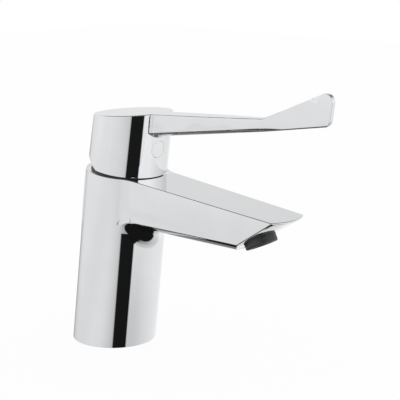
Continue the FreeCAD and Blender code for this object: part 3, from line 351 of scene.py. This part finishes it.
def bellySurface(shape):
    taper = (shape["rootHalf"] - shape["tipHalf"]) / (shape["spoutReach"] - shape["spoutRoot"])
    rise = shape["flankBottom"] - shape["bellyBottom"]

    def surface(points):
        x, y, z = points.T
        half = shape["rootHalf"] - taper * (x - shape["spoutRoot"])
        bend = (half * half + rise * rise) / (2 * rise)
        above = z - shape["bellyBottom"] - bend
        reach = np.hypot(y, above)
        slope = np.stack((taper * half / rise * (1 + above / reach), y / reach, above / reach), axis=1)
        steep = np.linalg.norm(slope, axis=1)
        return (reach - bend) / steep, slope / steep[:, None]

    return surface


# Where two solids overlap, with their common edge rounded
def roundedCorner(first, second, radius):
    def surface(points):
        (a, outA), (b, outB) = first(points), second(points)
        turn = np.clip((outA * outB).sum(axis=1), -0.999, 0.999)
        u, v = a + radius, b + radius
        alongA, alongB = (u - v * turn) / (1 - turn * turn), (v - u * turn) / (1 - turn * turn)
        rounded = (alongA > 0) & (alongB > 0)
        spread = alongA[:, None] * outA + alongB[:, None] * outB
        reach = np.maximum(np.linalg.norm(spread, axis=1), 1e-9)
        height = np.where(rounded, reach - radius, np.maximum(a, b))
        plain = np.where((a > b)[:, None], outA, outB)
        return height, np.where(rounded[:, None], spread / reach[:, None], plain)

    return surface


# Two solids joined by the blend that a ball leaves which rolls along both
def rolledJoint(first, second, radius):
    def surface(points):
        (a, outA), (b, outB) = first(points), second(points)
        height = np.minimum(a, b)
        outward = np.where((a < b)[:, None], outA, outB)
        near = np.flatnonzero((np.maximum(a, b) < radius) & (height > -radius / 4))
        if not len(near):
            return height, outward
        start = points[near]
        rough = outA[near] + outB[near]
        centre = start + rough / np.linalg.norm(rough, axis=1, keepdims=True) * radius
        for turn in range(shading["rollTurns"]):
            for side in (first, second):
                reach, out = side(centre)
                centre = centre - out * (reach - radius)[:, None]
            along = np.cross(first(centre)[1], second(centre)[1])
            along /= np.maximum(np.linalg.norm(along, axis=1, keepdims=True), 1e-9)
            centre = centre + along * ((start - centre) * along).sum(axis=1)[:, None]
        outA, outB, away = first(centre)[1], second(centre)[1], centre - start
        turn = (outA * outB).sum(axis=1)
        u, v = (away * outA).sum(axis=1), (away * outB).sum(axis=1)
        within = (u - v * turn > 0) & (v - u * turn > 0)
        reach = np.linalg.norm(away, axis=1)
        height[near[within]] = radius - reach[within]
        outward[near[within]] = (away / reach[:, None])[within]
        return height, outward

    return surface


def cornerPlaces(bm):
    return np.array([vert.co for vert in bm.verts])


# Lay the vertices near a surface on it, unless a face beside them belongs to another one
def settle(bm, surface, reachAt):
    points = cornerPlaces(bm)
    height, outward = surface(points)
    same = math.cos(math.radians(shading["sameSurface"]))
    for index in np.flatnonzero(np.abs(height) < reachAt(points)):
        vert = bm.verts[index]
        out = Vector(outward[index])
        if all(face.normal.dot(out) > same for face in vert.link_faces):
            vert.co = vert.co - out * height[index]
    bm.normal_update()


# Split the long edges on a surface until they are no longer than the fineness asks there; longest first, and one
# edge of a face at a time, so that every new face is a whole triangle
def refine(bm, surface, reachAt, fineness):
    for turn in range(shading["mostTurns"]):
        bm.verts.ensure_lookup_table()
        bm.verts.index_update()
        bm.faces.index_update()
        points = cornerPlaces(bm)
        height = np.abs(surface(points)[0])
        skin = (height < shading["onSurface"]) | (height < reachAt(points))
        limit = fineness(points)
        edges = list(bm.edges)
        ends = np.array([(edge.verts[0].index, edge.verts[1].index) for edge in edges])
        length = np.linalg.norm(points[ends[:, 0]] - points[ends[:, 1]], axis=1)
        wanted = np.flatnonzero(skin[ends].all(axis=1) & (length > limit[ends].min(axis=1)))
        middle = np.abs(surface((points[ends[wanted, 0]] + points[ends[wanted, 1]]) / 2)[0])
        wanted = wanted[middle < shading["sag"] + length[wanted] * shading["sagShare"]]
        if not len(wanted):
            break
        taken, chosen = set(), []
        for k in wanted[np.argsort(-length[wanted])]:
            sides = [face.index for face in edges[k].link_faces]
            if taken.isdisjoint(sides):
                taken.update(sides)
                chosen.append(edges[k])
        bmesh.ops.subdivide_edges(bm, edges=chosen, cuts=1, use_single_edge=True)
        bm.verts.ensure_lookup_table()
        bm.normal_update()
        settle(bm, surface, reachAt)
    print("turns of splitting:", turn)


# Round the sharp edges inside a ball, at a piece's end or rim
def roundEdges(bm, ball, radius):
    middle, reach = Vector(ball[0]), ball[1]
    flats = [edge for edge in bm.edges if all((vert.co - middle).length < reach for vert in edge.verts)]
    bmesh.ops.dissolve_limit(bm, angle_limit=math.radians(roundings["flat"]), edges=flats,
                             verts=list({vert for edge in flats for vert in edge.verts}))
    sharp = [edge for edge in bm.edges if edge.is_manifold and edge.calc_face_angle() > math.radians(roundings["sharp"])
             and all((vert.co - middle).length < reach for vert in edge.verts)]
    bmesh.ops.bevel(bm, geom=sharp, offset=radius, offset_type="OFFSET", segments=roundings["segments"],
                    profile=0.5, affect="EDGES", material=-1, clamp_overlap=True)
    bmesh.ops.triangulate(bm, faces=[face for face in bm.faces if len(face.verts) > 4])
    bm.verts.ensure_lookup_table()
    print("edges rounded:", len(sharp))


def mergedCopy(nodeName, name, finish, skins, rounded):
    bm = bmesh.new()
    bm.from_mesh(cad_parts[nodeName].data)
    bmesh.ops.remove_doubles(bm, verts=bm.verts, dist=shading["merge"])
    bm.verts.ensure_lookup_table()
    if rounded:
        roundEdges(bm, *rounded)
    for surface, reachAt, fineness in skins:
        refine(bm, surface, reachAt, fineness)
    mesh = bpy.data.meshes.new(name)
    bm.to_mesh(mesh)
    bm.free()
    for face in mesh.polygons:
        face.use_smooth = True
    mesh.set_sharp_from_angle(angle=math.radians(shading["crease"]))
    mesh.materials.append(finish)
    thing = bpy.data.objects.new(name, mesh)
    scene.collection.objects.link(thing)
    return thing


# Shade each vertex on a true surface by that surface, and the rest by the larger faces round it
def trueShading(thing, skins):
    weighted = thing.modifiers.new("weighted", "WEIGHTED_NORMAL")
    weighted.keep_sharp = True
    weighted.weight = 50
    bpy.context.view_layer.update()
    evened = bpy.data.meshes.new_from_object(thing.evaluated_get(bpy.context.evaluated_depsgraph_get()))
    thing.modifiers.clear()
    mesh = thing.data
    normals = np.array([corner.vector for corner in evened.corner_normals])
    bpy.data.meshes.remove(evened)
    points = np.array([vert.co for vert in mesh.vertices])
    corners = np.array([loop.vertex_index for loop in mesh.loops])
    facing = np.empty((len(corners), 3))
    for face in mesh.polygons:
        facing[face.loop_start:face.loop_start + face.loop_total] = face.normal
    same = math.cos(math.radians(shading["sameSurface"]))
    for surface, reachAt, fineness in skins:
        height, outward = surface(points)
        lying = (np.abs(height) < shading["onSurface"])[corners] & ((outward[corners] * facing).sum(axis=1) > same)
        normals[lying] = outward[corners[lying]]
        print(thing.name, "corners on the true surface:", int(lying.sum()), "of", len(corners))
    mesh.normals_split_custom_set(normals.tolist())


# Put a finer copy of a node in its place, on the body that carries it
def plated(nodeName, name, body, skins=(), finish=chrome, rounded=None):
    thing = mergedCopy(nodeName, name, finish, skins, rounded)
    trueShading(thing, skins)
    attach(thing, body)
    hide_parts(nodeName)
    return thing


fall, rise = math.radians(castingShape["topSlope"]), math.radians(castingShape["undercut"])
topFace = planeSurface((0, 0, castingShape["topHeight"]), (math.sin(fall), 0, math.cos(fall)))
undercut = planeSurface(castingShape["tip"], (math.sin(rise), 0, -math.cos(rise)))
column = coneSurface(castingShape["foot"], castingShape["lean"], castingShape["footRadius"],
                     castingShape["narrowing"])
flank, belly = flankSurface(castingShape, undercut), bellySurface(castingShape)
spoutHull = roundedCorner(flank, belly, castingShape["lowerEdge"])
outside = rolledJoint(column, spoutHull, castingShape["blend"])


# How far a vertex may lie from the casting's outside to be laid on it: nothing close to its other faces
def castingReach(points):
    margin = castingMesh["margin"]
    side = (topFace(points)[0] < -margin) & (undercut(points)[0] < -margin)
    return np.where(side & (points[:, 2] > castingMesh["aboveDeck"]), castingMesh["reach"], 0.0)


# How long an edge may be: short at the spout's lower edge, and shorter in the root than elsewhere
def castingFineness(points):
    edge = np.maximum(np.abs(flank(points)[0]), np.abs(belly(points)[0]))
    root = np.maximum(np.abs(column(points)[0]), np.abs(spoutHull(points)[0]))
    longest = np.where(root < castingShape["blend"], castingMesh["atRoot"], castingMesh["elsewhere"])
    return np.clip(castingMesh["atEdge"] + edge * castingMesh["growth"], castingMesh["atEdge"], longest)


hubSide = coneSurface(hubShape["pivot"], hubShape["lean"], hubShape["lowRadius"], hubShape["narrowing"])


def hubReach(points):             # the hub's vertices lie on its cone already
    return np.zeros(len(points))


def hubFineness(points):
    return np.full(len(points), hubMesh["length"])


castingSkin, hubSkin = (outside, castingReach, castingFineness), (hubSide, hubReach, hubFineness)
plated("tap_body", "bodyCasting", "body", [castingSkin])
plated("lever_handle", "leverCasting", "lever", [hubSkin],
       rounded=(roundings["paddleEnd"], roundings["paddleRadius"]))
# The collar in the gap under the hub is dark grey: painted shade for that gap
plated("trim_collar", "trimRing", "body", finish=greyPlastic)
plated("index_plug", "hubPlug", "lever", [hubSkin],
       rounded=(roundings["plugFace"], roundings["plugRadius"]))
plated("aerator_shell", "aeratorRing", "body", finish=aeratorPlastic)
print("castings plated")
